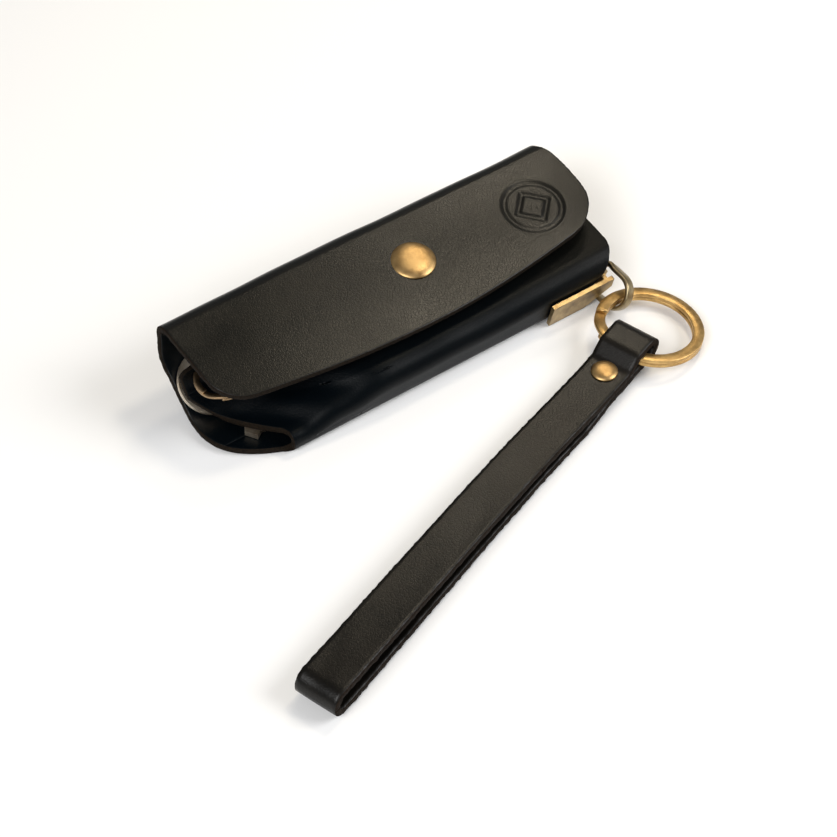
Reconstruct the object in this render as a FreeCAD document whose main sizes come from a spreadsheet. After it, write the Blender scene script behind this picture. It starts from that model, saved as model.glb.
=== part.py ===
# Leather key case with a snap flap, an edge clamp with a swivelling loop, a split ring and a wrist strap.
# Frame, in millimetres: +X along the case towards the clamp, -Y towards the strap, +Z up.
# The origin is the middle of the flat underside, on the surface that the case lies on.
import FreeCAD
import Part
import Sketcher
import math
import os

from FreeCAD import Placement, Rotation, Vector

doc = FreeCAD.newDocument("KeyCase")
sheet = doc.addObject("Spreadsheet::Sheet", "Sizes")

SIZES = {
    "leather": 2.0,
    "hole_play": 0.05,
    "case_half": 60.0,
    "section_change": 20.0,
    "hinge_y": 25.0,
    "hinge_z": 23.0,
    "flap_slope": 7.7,
    "flap_start": 1.3,
    "flap_reach": 35.0,
    "flap_bow": 4.6,
    "flap_corner": 9.0,
    "wall_lean": 13.5,
    "wall_foot": -11.76,
    "waist_fold": 43.0,
    "snap_x": 8.6,
    "snap_out": 16.6,
    "snap_cap_radius": 6.25,
    "snap_cap_height": 1.5,
    "snap_shank_radius": 1.5,
    "socket_radius": 5.0,
    "stud_head_radius": 1.9,
    "stud_play": 0.5,
    "panel_drop": 5.3,
    "post_room": 0.35,
    "slot_from": 10.5,
    "slot_height": 3.2,
    "clamp_sheet": 1.2,
    "clamp_left": 38.2,
    "clamp_right": 58.7,
    "clamp_wall": 56.0,
    "clamp_low": 0.65,
    "clamp_top": 9.0,
    "clamp_gap": 0.15,
    "back_jaw_set": 6.0,
    "back_jaw_foot": 3.6,
    "ear_corner": 5.9,
    "corner_length": 8.2,
    "wire_radius": 0.9,
    "loop_arc": 4.75,
    "loop_leg": 7.6,
    "loop_corner": 2.0,
    "loop_x": 57.95,
    "loop_y": -10.5,
    "loop_z": 5.4,
    "loop_lean": 30.0,
    "barrel_radius": 1.7,
    "barrel_length": 4.0,
    "pin_play": 0.05,
    "ring_outer": 15.0,
    "ring_inner": 12.0,
    "ring_height": 2.4,
    "ring_seam": 0.2,
    "ring_x": 57.5,
    "ring_y": -33.1,
    "ring_z": 4.5,
    "ring_tilt": 8.8,
    "strap_turn": 198.6,
    "strap_width": 12.0,
    "strap_nose": 8.7,
    "strap_end": 149.0,
    "strap_gap": 2.3,
    "strap_end_radius": 4.6,
    "ply_gap": 0.4,
    "rivet_seat": 2.2,
    "rivet_s": 22.2,
    "rivet_radius": 3.6,
    "rivet_dome": 1.2,
    "key_thickness": 1.8,
    "bow_radius": 9.0,
    "bow_hole": 2.6,
    "blade_length": 26.0,
    "blade_width": 6.5,
    "tooth": 1.4,
    "small_outer": 7.5,
    "small_inner": 5.9,
    "small_height": 1.4,
    "small_x": -51.3,
    "small_y": 8.2,
    "small_z": 15.5,
}
for row, (alias, value) in enumerate(SIZES.items(), start=1):
    sheet.set("A%d" % row, alias)
    sheet.set("B%d" % row, str(value))
    sheet.setAlias("B%d" % row, alias)
doc.recompute()


def size(alias):
    return float(sheet.get(alias))


def bind(feature, name, expression):
    feature.setExpression(name, expression)


def new_body(label):
    body = doc.addObject("PartDesign::Body", label)
    body.Label = label
    return body


def new_sketch(body, name, plane, offset=Vector(0, 0, 0)):
    sketch = body.newObject("Sketcher::SketchObject", name)
    origin_plane = [f for f in body.Origin.OriginFeatures if f.Role == plane][0]
    sketch.AttachmentSupport = [(origin_plane, "")]
    sketch.MapMode = "FlatFace"
    sketch.AttachmentOffset = Placement(offset, Rotation())
    return sketch


def add_edges(sketch, edges):
    for edge in edges:
        sketch.addGeometry(edge, False)


def closed_lines(points):
    ends = points[1:] + points[:1]
    return [Part.LineSegment(a, b) for a, b in zip(points, ends)]


def circle(x, y, radius):
    return Part.Circle(Vector(x, y, 0), Vector(0, 0, 1), radius)


def bound_circle(sketch, x, y, expression, radius):
    """A circle whose radius follows a cell of the sheet."""
    index = sketch.addGeometry(circle(x, y, radius), False)
    number = sketch.addConstraint(Sketcher.Constraint("Radius", index, radius))
    sketch.setExpression("Constraints[%d]" % number, expression)


def pad(body, name, sketch, expression, midplane=False, reverse=False):
    feature = body.newObject("PartDesign::Pad", name)
    feature.Profile = sketch
    feature.Midplane = midplane
    feature.Reversed = reverse
    bind(feature, "Length", expression)
    doc.recompute()
    return feature


def pocket(body, name, sketch, expression, midplane=False, reverse=False):
    before = body.Shape.Volume
    feature = body.newObject("PartDesign::Pocket", name)
    feature.Profile = sketch
    feature.Midplane = midplane
    feature.Reversed = reverse
    bind(feature, "Length", expression)
    doc.recompute()
    if body.Shape.Volume > before - 1e-4:
        raise RuntimeError(name + " removes nothing")
    return feature


def revolve(body, name, sketch):
    feature = body.newObject("PartDesign::Revolution", name)
    feature.Profile = sketch
    feature.ReferenceAxis = (sketch, ["V_Axis"])
    feature.Angle = 360.0
    doc.recompute()
    return feature


def rounded_side(corners, radii, offset):
    """One side of a bent leather sheet: its middle line's corners, rounded, then moved sideways."""
    edges = []
    cursor = None
    for i, corner in enumerate(corners):
        ahead = corners[min(i + 1, len(corners) - 1)] - corners[min(i, len(corners) - 2)]
        ahead.normalize()
        if i in (0, len(corners) - 1):
            point = corner + Vector(-ahead.y, ahead.x, 0) * offset
            if cursor is not None:
                edges.append(Part.LineSegment(cursor, point))
            cursor = point
            continue
        behind = corner - corners[i - 1]
        behind.normalize()
        turn = math.atan2(behind.x * ahead.y - behind.y * ahead.x, behind.dot(ahead))
        tangent = radii[i] * math.tan(abs(turn) / 2)
        side = math.copysign(1.0, turn)
        radius = radii[i] - side * offset
        centre = corner - behind * tangent + Vector(-behind.y, behind.x, 0) * side * radii[i]
        start = centre - Vector(-behind.y, behind.x, 0) * side * radius
        finish = centre - Vector(-ahead.y, ahead.x, 0) * side * radius
        middle_way = start + finish - centre * 2
        middle_way.normalize()
        edges.append(Part.LineSegment(cursor, start))
        edges.append(Part.Arc(start, centre + middle_way * radius, finish))
        cursor = finish
    return edges, cursor


def leather_outline(corners, radii):
    """Both sides of a bent sheet, a round bead at its first end and a cut edge at its last."""
    half = size("leather") / 2
    left, left_end = rounded_side(corners, radii, half)
    right, right_end = rounded_side(corners, radii, -half)
    first = corners[1] - corners[0]
    first.normalize()
    bead = Part.Arc(right[0].StartPoint, corners[0] - first * half, left[0].StartPoint)
    return [bead] + left + [Part.LineSegment(left_end, right_end)] + right


# ---------------------------------------------------------------- the case's leather
# Middle lines of the leather across the case: (y, z) corners from the top fold, down the back,
# along the underside, round the bottom fold and up over the keys.
FULL_CORNERS = [(25, 23), (25.2, 12.5), (11, 1), (-12, 1), (-14.4, 11), (-10.4, 13.4), (4, 14.85), (14.5, 16.3)]
FULL_RADII = [0, 9, 9, 2.4, 2.6, 2.4, 12, 0]
SAGGED_CORNERS = [(25, 23), (24.6, 13.5), (10.5, 1), (-12, 1), (-12.3, 4.7), (2, 6), (14, 11), (15.6, 18)]
SAGGED_RADII = [0, 9, 9, 1.4, 1.4, 7, 4, 0]


def as_vectors(pairs):
    return [Vector(y, z, 0) for y, z in pairs]


def waist_cut(sketch, side, start, middle, finish, outside):
    """The region beyond the curved end of the leather, at one end of the case."""
    points = [Vector(side * x, y, 0) for x, y in (start, middle, finish)]
    corner = Vector(side * outside, finish[1], 0)
    low = Vector(side * outside, start[1] - 3, 0)
    foot = Vector(side * start[0], start[1] - 3, 0)
    sketch.addGeometry(Part.Arc(*points), False)
    sketch.addGeometry(Part.LineSegment(points[2], corner), False)
    sketch.addGeometry(Part.LineSegment(corner, low), False)
    sketch.addGeometry(Part.LineSegment(low, foot), False)
    sketch.addGeometry(Part.LineSegment(foot, points[0]), False)


def make_case_wrap():
    body = new_body("case_wrap")
    change = size("section_change")
    half = size("case_half")
    full = new_sketch(body, "full_section", "YZ_Plane", Vector(0, 0, -change))
    add_edges(full, leather_outline(as_vectors(FULL_CORNERS), FULL_RADII))
    doc.recompute()
    pad(body, "full_part", full, "Sizes.case_half + Sizes.section_change")
    join = new_sketch(body, "join_section", "YZ_Plane", Vector(0, 0, -change))
    add_edges(join, leather_outline(as_vectors(FULL_CORNERS), FULL_RADII))
    end = new_sketch(body, "sagged_section", "YZ_Plane", Vector(0, 0, -half))
    add_edges(end, leather_outline(as_vectors(SAGGED_CORNERS), SAGGED_RADII))
    doc.recompute()
    loft = body.newObject("PartDesign::AdditiveLoft", "sagged_part")
    loft.Profile = join
    loft.Sections = [end]
    loft.Ruled = True
    doc.recompute()
    fold = size("waist_fold")
    left = new_sketch(body, "left_waist", "XY_Plane", Vector(0, 0, -1))
    waist_cut(left, -1, (fold, -14.5), (55, -3.5), (60.6, 7), 63)
    pocket(body, "left_waist_cut", left, "Sizes.hinge_z", reverse=True)
    right = new_sketch(body, "right_waist", "XY_Plane", Vector(0, 0, -1))
    waist_cut(right, 1, (fold, -14.5), (55, -3.5), (60.6, 7), 63)
    pocket(body, "right_waist_cut", right, "Sizes.leather * 2", reverse=True)
    front = new_sketch(body, "front_waist", "XZ_Plane", Vector(0, 0, 7))
    waist_cut(front, 1, (fold, -0.2), (55.2, 9.6), (60.6, 16), 63)
    pocket(body, "front_waist_cut", front, "Sizes.ring_outer", reverse=True)
    slope = math.radians(size("flap_slope"))
    shank = new_sketch(body, "post_hole", "XY_Plane", Vector(0, 0, size("hinge_z") / 2))
    out = size("snap_out") * math.cos(slope) - size("panel_drop") * math.sin(slope)
    hole_radius = size("snap_shank_radius") + size("post_room")
    shank.addGeometry(circle(size("snap_x"), size("hinge_y") - out, hole_radius), False)
    pocket(body, "post_hole_cut", shank, "Sizes.hinge_z / 2", reverse=True)
    slot = new_sketch(body, "ring_slot", "XZ_Plane", Vector(0, 0, -size("slot_from")))
    x, z, reach, half_slot = size("small_x"), size("small_z"), size("small_outer"), size("slot_height") / 2
    low, high = z - half_slot, z + half_slot
    slot_points = [(x - reach, low), (x + reach, low), (x + reach, high), (x - reach, high)]
    add_edges(slot, closed_lines([Vector(a, b, 0) for a, b in slot_points]))
    pocket(body, "ring_slot_cut", slot, "Sizes.small_outer")
    return body


# ---------------------------------------------------------------- the flap and its snap
def flap_placement():
    """From the flap's own plane, whose x axis is the fold, to the case."""
    tilt = Rotation(Vector(1, 0, 0), size("flap_slope"))
    return Placement(Vector(0, size("hinge_y"), size("hinge_z")), tilt)


def make_flap():
    body = new_body("case_flap")
    half, reach, bow = size("case_half"), size("flap_reach"), size("flap_bow")
    corner, start = size("flap_corner"), size("flap_start")
    side_end = -(reach - bow - corner)
    outline = new_sketch(body, "flap_outline", "XY_Plane")
    shift = corner * (1 - math.sqrt(0.5))
    for side in (-1, 1):
        top = Vector(side * half, -start, 0)
        low = Vector(side * half, side_end, 0)
        round_end = Vector(side * (half - corner), side_end - corner, 0)
        middle = Vector(side * (half - shift), side_end - corner + shift, 0)
        outline.addGeometry(Part.LineSegment(top, low), False)
        outline.addGeometry(Part.Arc(low, middle, round_end), False)
    left = Vector(-half, -start, 0)
    outline.addGeometry(Part.LineSegment(left, Vector(half, -start, 0)), False)
    ends = [Vector(side * (half - corner), side_end - corner, 0) for side in (-1, 1)]
    outline.addGeometry(Part.Arc(ends[0], Vector(0, -reach, 0), ends[1]), False)
    doc.recompute()
    pad(body, "flap_sheet", outline, "Sizes.leather", midplane=True)
    hole = new_sketch(body, "cap_hole", "XY_Plane")
    hole_radius = size("snap_shank_radius") + size("hole_play")
    hole.addGeometry(circle(size("snap_x"), -size("snap_out"), hole_radius), False)
    pocket(body, "cap_hole_cut", hole, "Sizes.leather * 2", midplane=True)
    body.Placement = flap_placement()
    return body


def turned_piece(label, profile, placement):
    """A round piece from its (radius, height) outline, turned about its own Z axis."""
    body = new_body(label)
    sketch = new_sketch(body, label + "_profile", "XZ_Plane")
    add_edges(sketch, profile)
    doc.recompute()
    revolve(body, label + "_turned", sketch)
    body.Placement = placement
    return body


def outline_of(points):
    return closed_lines([Vector(r, height, 0) for r, height in points])


def dome_outline(radius, base, height, shank, shank_end, rim=0.35):
    """A domed head with a thin rim, and a straight shank below it."""
    top = Vector(0, base + height, 0)
    edge = Vector(radius, base + rim, 0)
    chord = edge - top
    bulge = (top + edge) * 0.5 + Vector(-chord.y, chord.x, 0).normalize() * height * 0.22
    points = [Vector(radius, base, 0), Vector(shank, base, 0), Vector(shank, shank_end, 0), Vector(0, shank_end, 0)]
    edges = [Part.Arc(top, bulge, edge), Part.LineSegment(edge, points[0])]
    edges += [Part.LineSegment(a, b) for a, b in zip(points, points[1:])]
    return edges + [Part.LineSegment(points[-1], top)]


def make_snap():
    half = size("leather") / 2
    drop = size("panel_drop")
    shank = size("snap_shank_radius")
    head = size("stud_head_radius")
    outer = size("socket_radius")
    seat = flap_placement()
    place = Placement(seat.multVec(Vector(size("snap_x"), -size("snap_out"), 0)), seat.Rotation)
    cap = dome_outline(size("snap_cap_radius"), half, size("snap_cap_height"), shank, -half - 0.6)
    pieces = [turned_piece("snap_cap", cap, place)]
    bore = head + size("stud_play")
    roof, mouth = -half - 0.7, -half - 2.3
    throat = shank + size("hole_play")
    socket = [(throat, -half), (outer, -half), (outer, mouth), (bore, mouth), (bore, roof), (throat, roof)]
    pieces.append(turned_piece("snap_socket", outline_of(socket), place))
    panel_top, panel_low = half - drop, -half - drop
    flange = outer - 0.4
    stud = [(0, roof - 0.25), (head, roof - 0.25), (head, panel_top + 0.7), (flange, panel_top + 0.7)]
    stud += [(flange, panel_top + 0.1), (1.1, panel_top + 0.1), (1.1, panel_top - 0.6), (0, panel_top - 0.6)]
    pieces.append(turned_piece("snap_stud", outline_of(stud), place))
    post = [(0, panel_low - 0.9), (flange, panel_low - 0.9), (flange, panel_low - 0.15), (shank, panel_low - 0.15)]
    post += [(shank, panel_top), (1.15, panel_top), (1.15, panel_top - 0.65), (0, panel_top - 0.65)]
    pieces.append(turned_piece("snap_post", outline_of(post), place))
    return pieces


# ---------------------------------------------------------------- the edge clamp and its loop
def loop_placement():
    """The loop's plane: its x axis points out of the case, its y axis is the pivot, leaning along +X."""
    lean = math.radians(size("loop_lean"))
    out = Vector(0, -1, 0)
    pivot = Vector(math.sin(lean), 0, math.cos(lean))
    turn = Rotation(out, pivot, out.cross(pivot), "XYZ")
    return Placement(Vector(size("loop_x"), size("loop_y"), size("loop_z")), turn)


def make_edge_clamp():
    body = new_body("edge_clamp")
    inner = size("leather") / 2 + size("clamp_gap")
    outer = inner + size("clamp_sheet")
    left, right, wall = size("clamp_left"), size("clamp_right"), size("clamp_wall")
    beyond = wall + size("clamp_sheet")
    plan = [(left, -outer), (right, -outer), (right, -inner), (beyond, -inner), (beyond, outer)]
    back_left = left + size("back_jaw_set")
    plan += [(back_left, outer), (back_left, inner), (wall, inner), (wall, -inner), (left, -inner)]
    sketch = new_sketch(body, "clamp_plan", "XY_Plane", Vector(0, 0, size("clamp_low")))
    add_edges(sketch, closed_lines([Vector(x, y, 0) for x, y in plan]))
    doc.recompute()
    pad(body, "clamp_sheet", sketch, "Sizes.clamp_top - Sizes.clamp_low")
    corner = new_sketch(body, "clamp_corner", "XZ_Plane", Vector(0, 0, 0))
    low = size("clamp_low") - 1
    past, cut_from = right + 1, right - size("corner_length")
    corner_points = [(cut_from, low), (cut_from, low + 1.05), (past, size("ear_corner")), (past, low)]
    add_edges(corner, closed_lines([Vector(x, z, 0) for x, z in corner_points]))
    pocket(body, "clamp_corner_cut", corner, "Sizes.ring_outer", midplane=True)
    inside = new_sketch(body, "back_jaw_foot", "XZ_Plane", Vector(0, 0, -inner + 0.1))
    foot = size("back_jaw_foot")
    inside_points = [(left, low), (left, foot), (past, foot), (past, low)]
    add_edges(inside, closed_lines([Vector(x, z, 0) for x, z in inside_points]))
    pocket(body, "back_jaw_foot_cut", inside, "Sizes.leather * 2")
    lean = Rotation(Vector(1, 0, 0), size("wall_lean"))
    place = Placement(Vector(0, size("wall_foot"), 0), lean)
    half_length = size("barrel_length") / 2
    along = Rotation(Vector(1, 0, 0), -90)
    barrel_seat = loop_placement().multiply(Placement(Vector(0, -half_length, 0), along))
    local_seat = place.inverse().multiply(barrel_seat)
    for kind, name, expression in (
        ("PartDesign::AdditiveCylinder", "barrel", "Sizes.barrel_radius"),
        ("PartDesign::SubtractiveCylinder", "barrel_bore", "Sizes.wire_radius + Sizes.pin_play"),
    ):
        cylinder = body.newObject(kind, name)
        cylinder.Height = size("barrel_length")
        cylinder.Placement = local_seat
        bind(cylinder, "Radius", expression)
        doc.recompute()
    body.Placement = place
    return body


def make_clamp_loop():
    body = new_body("clamp_loop")
    arc, leg, corner = size("loop_arc"), size("loop_leg"), size("loop_corner")
    shift = corner * (1 - math.sqrt(0.5))
    path = new_sketch(body, "loop_path", "XY_Plane")
    nodes = [Vector(0, -arc + corner, 0), Vector(0, arc - corner, 0), Vector(corner, arc, 0), Vector(leg, arc, 0)]
    nodes += [Vector(leg, -arc, 0), Vector(corner, -arc, 0)]
    path.addGeometry(Part.LineSegment(nodes[0], nodes[1]), False)
    path.addGeometry(Part.Arc(nodes[1], Vector(shift, arc - shift, 0), nodes[2]), False)
    path.addGeometry(Part.LineSegment(nodes[2], nodes[3]), False)
    path.addGeometry(Part.Arc(nodes[3], Vector(leg + arc, 0, 0), nodes[4]), False)
    path.addGeometry(Part.LineSegment(nodes[4], nodes[5]), False)
    path.addGeometry(Part.Arc(nodes[5], Vector(shift, -arc + shift, 0), nodes[0]), False)
    section = new_sketch(body, "loop_section", "XZ_Plane", Vector(0, 0, arc - corner))
    bound_circle(section, 0, 0, "Sizes.wire_radius", size("wire_radius"))
    doc.recompute()
    pipe = body.newObject("PartDesign::AdditivePipe", "loop_wire")
    pipe.Profile = section
    pipe.Spine = (path, [])
    doc.recompute()
    body.Placement = loop_placement()
    return body


# ---------------------------------------------------------------- the rings
def ring_outline(inner, outer, height, seam):
    """Half the section of a ring of two coils, with the seam between them open a little on both sides."""
    half = height / 2
    side = [(outer, -half), (outer, -seam / 2), (outer - seam, 0), (outer, seam / 2), (outer, half)]
    side += [(inner, half), (inner, seam / 2), (inner + seam, 0), (inner, -seam / 2), (inner, -half)]
    return outline_of(side)


def ring_placement():
    tilt = Rotation(Vector(0, 1, 0), size("ring_tilt"))
    return Placement(Vector(size("ring_x"), size("ring_y"), size("ring_z")), tilt)


def make_rings():
    outline = ring_outline(size("ring_inner"), size("ring_outer"), size("ring_height"), size("ring_seam"))
    turned_piece("split_ring", outline, ring_placement())
    outline = ring_outline(size("small_inner"), size("small_outer"), size("small_height"), size("ring_seam"))
    place = Placement(Vector(size("small_x"), size("small_y"), size("small_z")), Rotation())
    turned_piece("key_ring", outline, place)


# ---------------------------------------------------------------- the wrist strap and its rivet
def strap_placement():
    turn = Rotation(Vector(0, 0, 1), size("strap_turn"))
    return Placement(Vector(size("ring_x"), size("ring_y"), 0), turn)


def band_height():
    """The height of the ring's band where the strap goes round it."""
    reach = (size("ring_inner") + size("ring_outer")) / 2
    direction = math.cos(math.radians(size("strap_turn")))
    return size("ring_z") - reach * direction * math.tan(math.radians(size("ring_tilt")))


def make_strap():
    body = new_body("wrist_strap")
    band, gap, sheet_t = band_height(), size("strap_gap"), size("leather")
    nose, end = size("strap_nose"), size("strap_end")
    seat = size("rivet_s")
    top = band + gap + sheet_t
    low = band - gap - sheet_t
    level = size("rivet_seat") + sheet_t
    end_radius = size("strap_end_radius")
    ply = size("ply_gap") / 2
    side = new_sketch(body, "strap_side", "XZ_Plane")
    rivet_from, rivet_to = seat - 3.9, seat + 4.2
    upper = [(nose, top), (14.2, top), (rivet_from, level + sheet_t), (rivet_to, level + sheet_t)]
    upper += [(60, 7.2), (110, 8.8), (end - end_radius, 2 * end_radius)]
    lower = [(end - end_radius, 0), (38, 0), (rivet_to, level - sheet_t), (rivet_from, level - sheet_t), (nose, low)]
    route = [Vector(s, z, 0) for s, z in upper]
    back = [Vector(s, z, 0) for s, z in lower]
    edges = [Part.LineSegment(a, b) for a, b in zip(route, route[1:])]
    edges.append(Part.Arc(route[-1], Vector(end, end_radius, 0), back[0]))
    edges += [Part.LineSegment(a, b) for a, b in zip(back, back[1:])]
    edges.append(Part.Arc(back[-1], Vector(nose - gap - sheet_t, band, 0), route[0]))
    ring_hole = [Vector(s, z, 0) for s, z in ((nose, band + gap), (15.2, band + gap), (rivet_from + 0.4, level + ply))]
    ring_hole += [Vector(rivet_from + 0.4, level - ply, 0), Vector(nose, band - gap, 0)]
    edges += [Part.LineSegment(a, b) for a, b in zip(ring_hole, ring_hole[1:])]
    edges.append(Part.Arc(ring_hole[-1], Vector(nose - gap, band, 0), ring_hole[0]))
    inner = end_radius - sheet_t
    wrist = [(rivet_to, level + ply), (60, 5.2), (110, 6.8), (end - end_radius, end_radius + inner)]
    wrist_back = [(end - end_radius, sheet_t), (38, sheet_t), (rivet_to, level - ply)]
    over = [Vector(s, z, 0) for s, z in wrist]
    under = [Vector(s, z, 0) for s, z in wrist_back]
    edges += [Part.LineSegment(a, b) for a, b in zip(over, over[1:])]
    edges.append(Part.Arc(over[-1], Vector(end - sheet_t, end_radius, 0), under[0]))
    edges += [Part.LineSegment(a, b) for a, b in zip(under, under[1:])]
    edges.append(Part.LineSegment(under[-1], over[0]))
    add_edges(side, edges)
    doc.recompute()
    pad(body, "strap_band", side, "Sizes.strap_width", midplane=True)
    hole = new_sketch(body, "rivet_hole", "XY_Plane")
    hole.addGeometry(circle(seat, 0, size("snap_shank_radius") + size("hole_play")), False)
    pocket(body, "rivet_hole_cut", hole, "Sizes.hinge_z", midplane=True)
    body.Placement = strap_placement()
    seat_point = strap_placement().multVec(Vector(seat, 0, level))
    place = Placement(seat_point, strap_placement().Rotation)
    shank = size("snap_shank_radius")
    head = dome_outline(size("rivet_radius"), sheet_t, size("rivet_dome"), shank, 0.3)
    turned_piece("rivet_cap", head, place)
    foot = dome_outline(size("rivet_radius"), sheet_t, size("rivet_dome"), shank, -0.2)
    over_turn = place.multiply(Placement(Vector(0, 0, 0), Rotation(Vector(1, 0, 0), 180)))
    turned_piece("rivet_post", foot, over_turn)


# ---------------------------------------------------------------- the keys
def make_key(label, place, teeth_side):
    """A flat key: round bow with a hole, and a blade along +X with three cuts on one side."""
    body = new_body(label)
    bow, width, length, tooth = size("bow_radius"), size("blade_width"), size("blade_length"), size("tooth")
    half = width / 2
    root = math.sqrt(bow ** 2 - half ** 2)
    sketch = new_sketch(body, label + "_outline", "XY_Plane")
    tip = bow + length
    cut = teeth_side * half
    deep = teeth_side * (half - tooth)
    points = [(root, -cut), (tip - 2, -cut), (tip, 0)]
    step = (length - 6) / 6
    x = tip - 2
    for number in range(3):
        points += [(x, cut), (x - step * 0.6, deep), (x - step * 1.4, deep)]
        x -= 2 * step
    points += [(x, cut), (root, cut)]
    nodes = [Vector(a, b, 0) for a, b in points]
    add_edges(sketch, [Part.LineSegment(a, b) for a, b in zip(nodes, nodes[1:])])
    sketch.addGeometry(Part.Arc(nodes[-1], Vector(-bow, 0, 0), nodes[0]), False)
    bound_circle(sketch, -bow * 0.5, 0, "Sizes.bow_hole", size("bow_hole"))
    doc.recompute()
    pad(body, label + "_blank", sketch, "Sizes.key_thickness", midplane=True)
    body.Placement = place
    return body


def make_keys():
    slope = Rotation(Vector(1, 0, 0), 36)
    make_key("key_1", Placement(Vector(-51.5, 14.3, 8.9), slope), 1)
    flipped = Rotation(Vector(0, 0, 1), 180)
    make_key("key_2", Placement(Vector(-16.5, -1.6, 3.1), flipped), 1)


def write_parts():
    doc.recompute()
    for item in doc.Objects:
        if "Invalid" in item.State or "Error" in item.State:
            raise RuntimeError(item.Name + " failed")
    os.makedirs("parts", exist_ok=True)
    bodies = [item for item in doc.Objects if item.TypeId == "PartDesign::Body"]
    for body in bodies:
        shape = body.Shape
        if shape.isNull() or not shape.isValid() or len(shape.Solids) != 1:
            raise RuntimeError(body.Label + " is not one valid solid")
        shape.exportStep("parts/%s.step" % body.Label)
        box = shape.BoundBox
        corners = (box.XMin, box.XMax, box.YMin, box.YMax, box.ZMin, box.ZMax)
        print(body.Label, "%.0f mm3" % shape.Volume, " ".join("%.2f" % value for value in corners))


make_case_wrap()
make_flap()
make_snap()
make_edge_clamp()
make_clamp_loop()
make_rings()
make_strap()
make_keys()
write_parts()
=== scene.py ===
"""Looks of the leather key case: leather, brass, keys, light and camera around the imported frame."""
import math

import bpy
import numpy as np
from mathutils import Matrix, Vector, noise


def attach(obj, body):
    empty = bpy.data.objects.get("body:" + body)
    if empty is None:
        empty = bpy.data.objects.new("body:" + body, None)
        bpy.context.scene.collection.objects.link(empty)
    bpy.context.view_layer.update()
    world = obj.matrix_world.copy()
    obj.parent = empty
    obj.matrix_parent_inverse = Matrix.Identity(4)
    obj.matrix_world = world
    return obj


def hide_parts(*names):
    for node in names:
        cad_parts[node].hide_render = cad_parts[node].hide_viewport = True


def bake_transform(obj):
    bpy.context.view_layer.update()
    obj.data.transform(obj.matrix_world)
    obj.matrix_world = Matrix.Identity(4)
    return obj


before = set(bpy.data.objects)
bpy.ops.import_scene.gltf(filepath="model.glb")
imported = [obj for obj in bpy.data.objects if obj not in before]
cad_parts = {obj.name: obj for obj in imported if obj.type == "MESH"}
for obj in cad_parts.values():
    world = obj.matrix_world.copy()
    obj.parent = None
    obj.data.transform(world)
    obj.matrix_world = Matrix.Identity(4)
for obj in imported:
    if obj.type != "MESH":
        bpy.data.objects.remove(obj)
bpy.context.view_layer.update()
MM = 0.001

# ---------------------------------------------------------------- places, in millimetres in the row frame
CASE_HALF = 60.0                            # half the case's length
HINGE = (25.0, 23.0)                        # (y, z) of the line in the top fold that the flap turns about
FLAP_SLOPE = math.radians(7.7)              # how steeply the closed flap falls towards its front edge
FLAP_REACH = 35.0                           # from that line to the front edge, where the flap is longest
FLAP_LONGEST = 5.0                          # the x where it is longest
FLAP_BOW = 0.00155                          # reach lost per square millimetre away from there
SNAP_AT = (8.6, 16.6)                       # (x, distance from the hinge line) of the snap
EMBLEM_AT = (47.0, 18.5)                    # the same for the pressed mark
LEATHER = 2.0                               # thickness of the case's leather
RING_CENTRE = Vector((57.5, -33.1, 4.5))
RING_TILT = math.radians(8.8)
STRAP_TURN = math.radians(198.6)            # direction of the strap from the ring, about Z
STRAP_WIDTH = 12.0
STRAP_HALF_PLY = 1.0                        # half the thickness of the strap's leather
RIVET_S = 22.2                              # the rivet's distance from the ring's centre along the strap
RIVET_LEVEL = 4.2                           # height of the middle of the rivet
KEY_RING_CENTRE = Vector((-51.3, 8.2, 15.5))
LOOP_SEAT = Vector((57.95, -10.5, 5.4))     # middle of the clamp's barrel
LOOP_LEAN = math.radians(30.0)              # the barrel leans out from the vertical


# ---------------------------------------------------------------- mesh helpers
def link(obj):
    bpy.context.scene.collection.objects.link(obj)
    return obj


def mesh_object(name, vertices, faces, material, face_slots=None, extra=()):
    """A smooth-shaded mesh from millimetre points. face_slots picks a material for each face."""
    mesh = bpy.data.meshes.new(name)
    scaled = [(float(v[0]) * MM, float(v[1]) * MM, float(v[2]) * MM) for v in vertices]
    mesh.from_pydata(scaled, [], faces)
    mesh.materials.append(material)
    for more in extra:
        mesh.materials.append(more)
    if face_slots is not None:
        mesh.polygons.foreach_set("material_index", face_slots)
    mesh.polygons.foreach_set("use_smooth", [True] * len(mesh.polygons))
    mesh.update()
    return link(bpy.data.objects.new(name, mesh))


def turned(arm, angle):
    """A flat arrow turned by an angle."""
    c, s = math.cos(angle), math.sin(angle)
    return Vector((arm.x * c - arm.y * s, arm.x * s + arm.y * c))


def rounded(corners, radii, line_steps, arc_steps):
    """Points along a polyline with rounded corners, the same number for any corners and radii."""
    points = []
    corners = [Vector(c) for c in corners]
    cursor = corners[0]
    for i in range(1, len(corners)):
        last = i == len(corners) - 1
        if last:
            stop = corners[i]
        else:
            behind = (corners[i] - corners[i - 1]).normalized()
            ahead = (corners[i + 1] - corners[i]).normalized()
            turn = math.atan2(behind.x * ahead.y - behind.y * ahead.x, behind.dot(ahead))
            tangent = radii[i] * math.tan(abs(turn) / 2)
            stop = corners[i] - behind * tangent
        for k in range(line_steps[i - 1]):
            points.append(cursor.lerp(stop, k / line_steps[i - 1]))
        if last:
            points.append(stop)
            break
        side = math.copysign(1.0, turn)
        normal = Vector((-behind.y, behind.x)) * side
        centre = stop + normal * radii[i]
        arm = stop - centre
        for k in range(arc_steps):
            points.append(centre + turned(arm, turn * k / arc_steps))
        cursor = centre + turned(arm, turn)
    return np.array([(p.x, p.y) for p in points])


def hill(value, low, high):
    """0 below low, 1 above high, smooth between."""
    t = min(max((value - low) / (high - low), 0.0), 1.0)
    return t * t * (3 - 2 * t)


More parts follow.
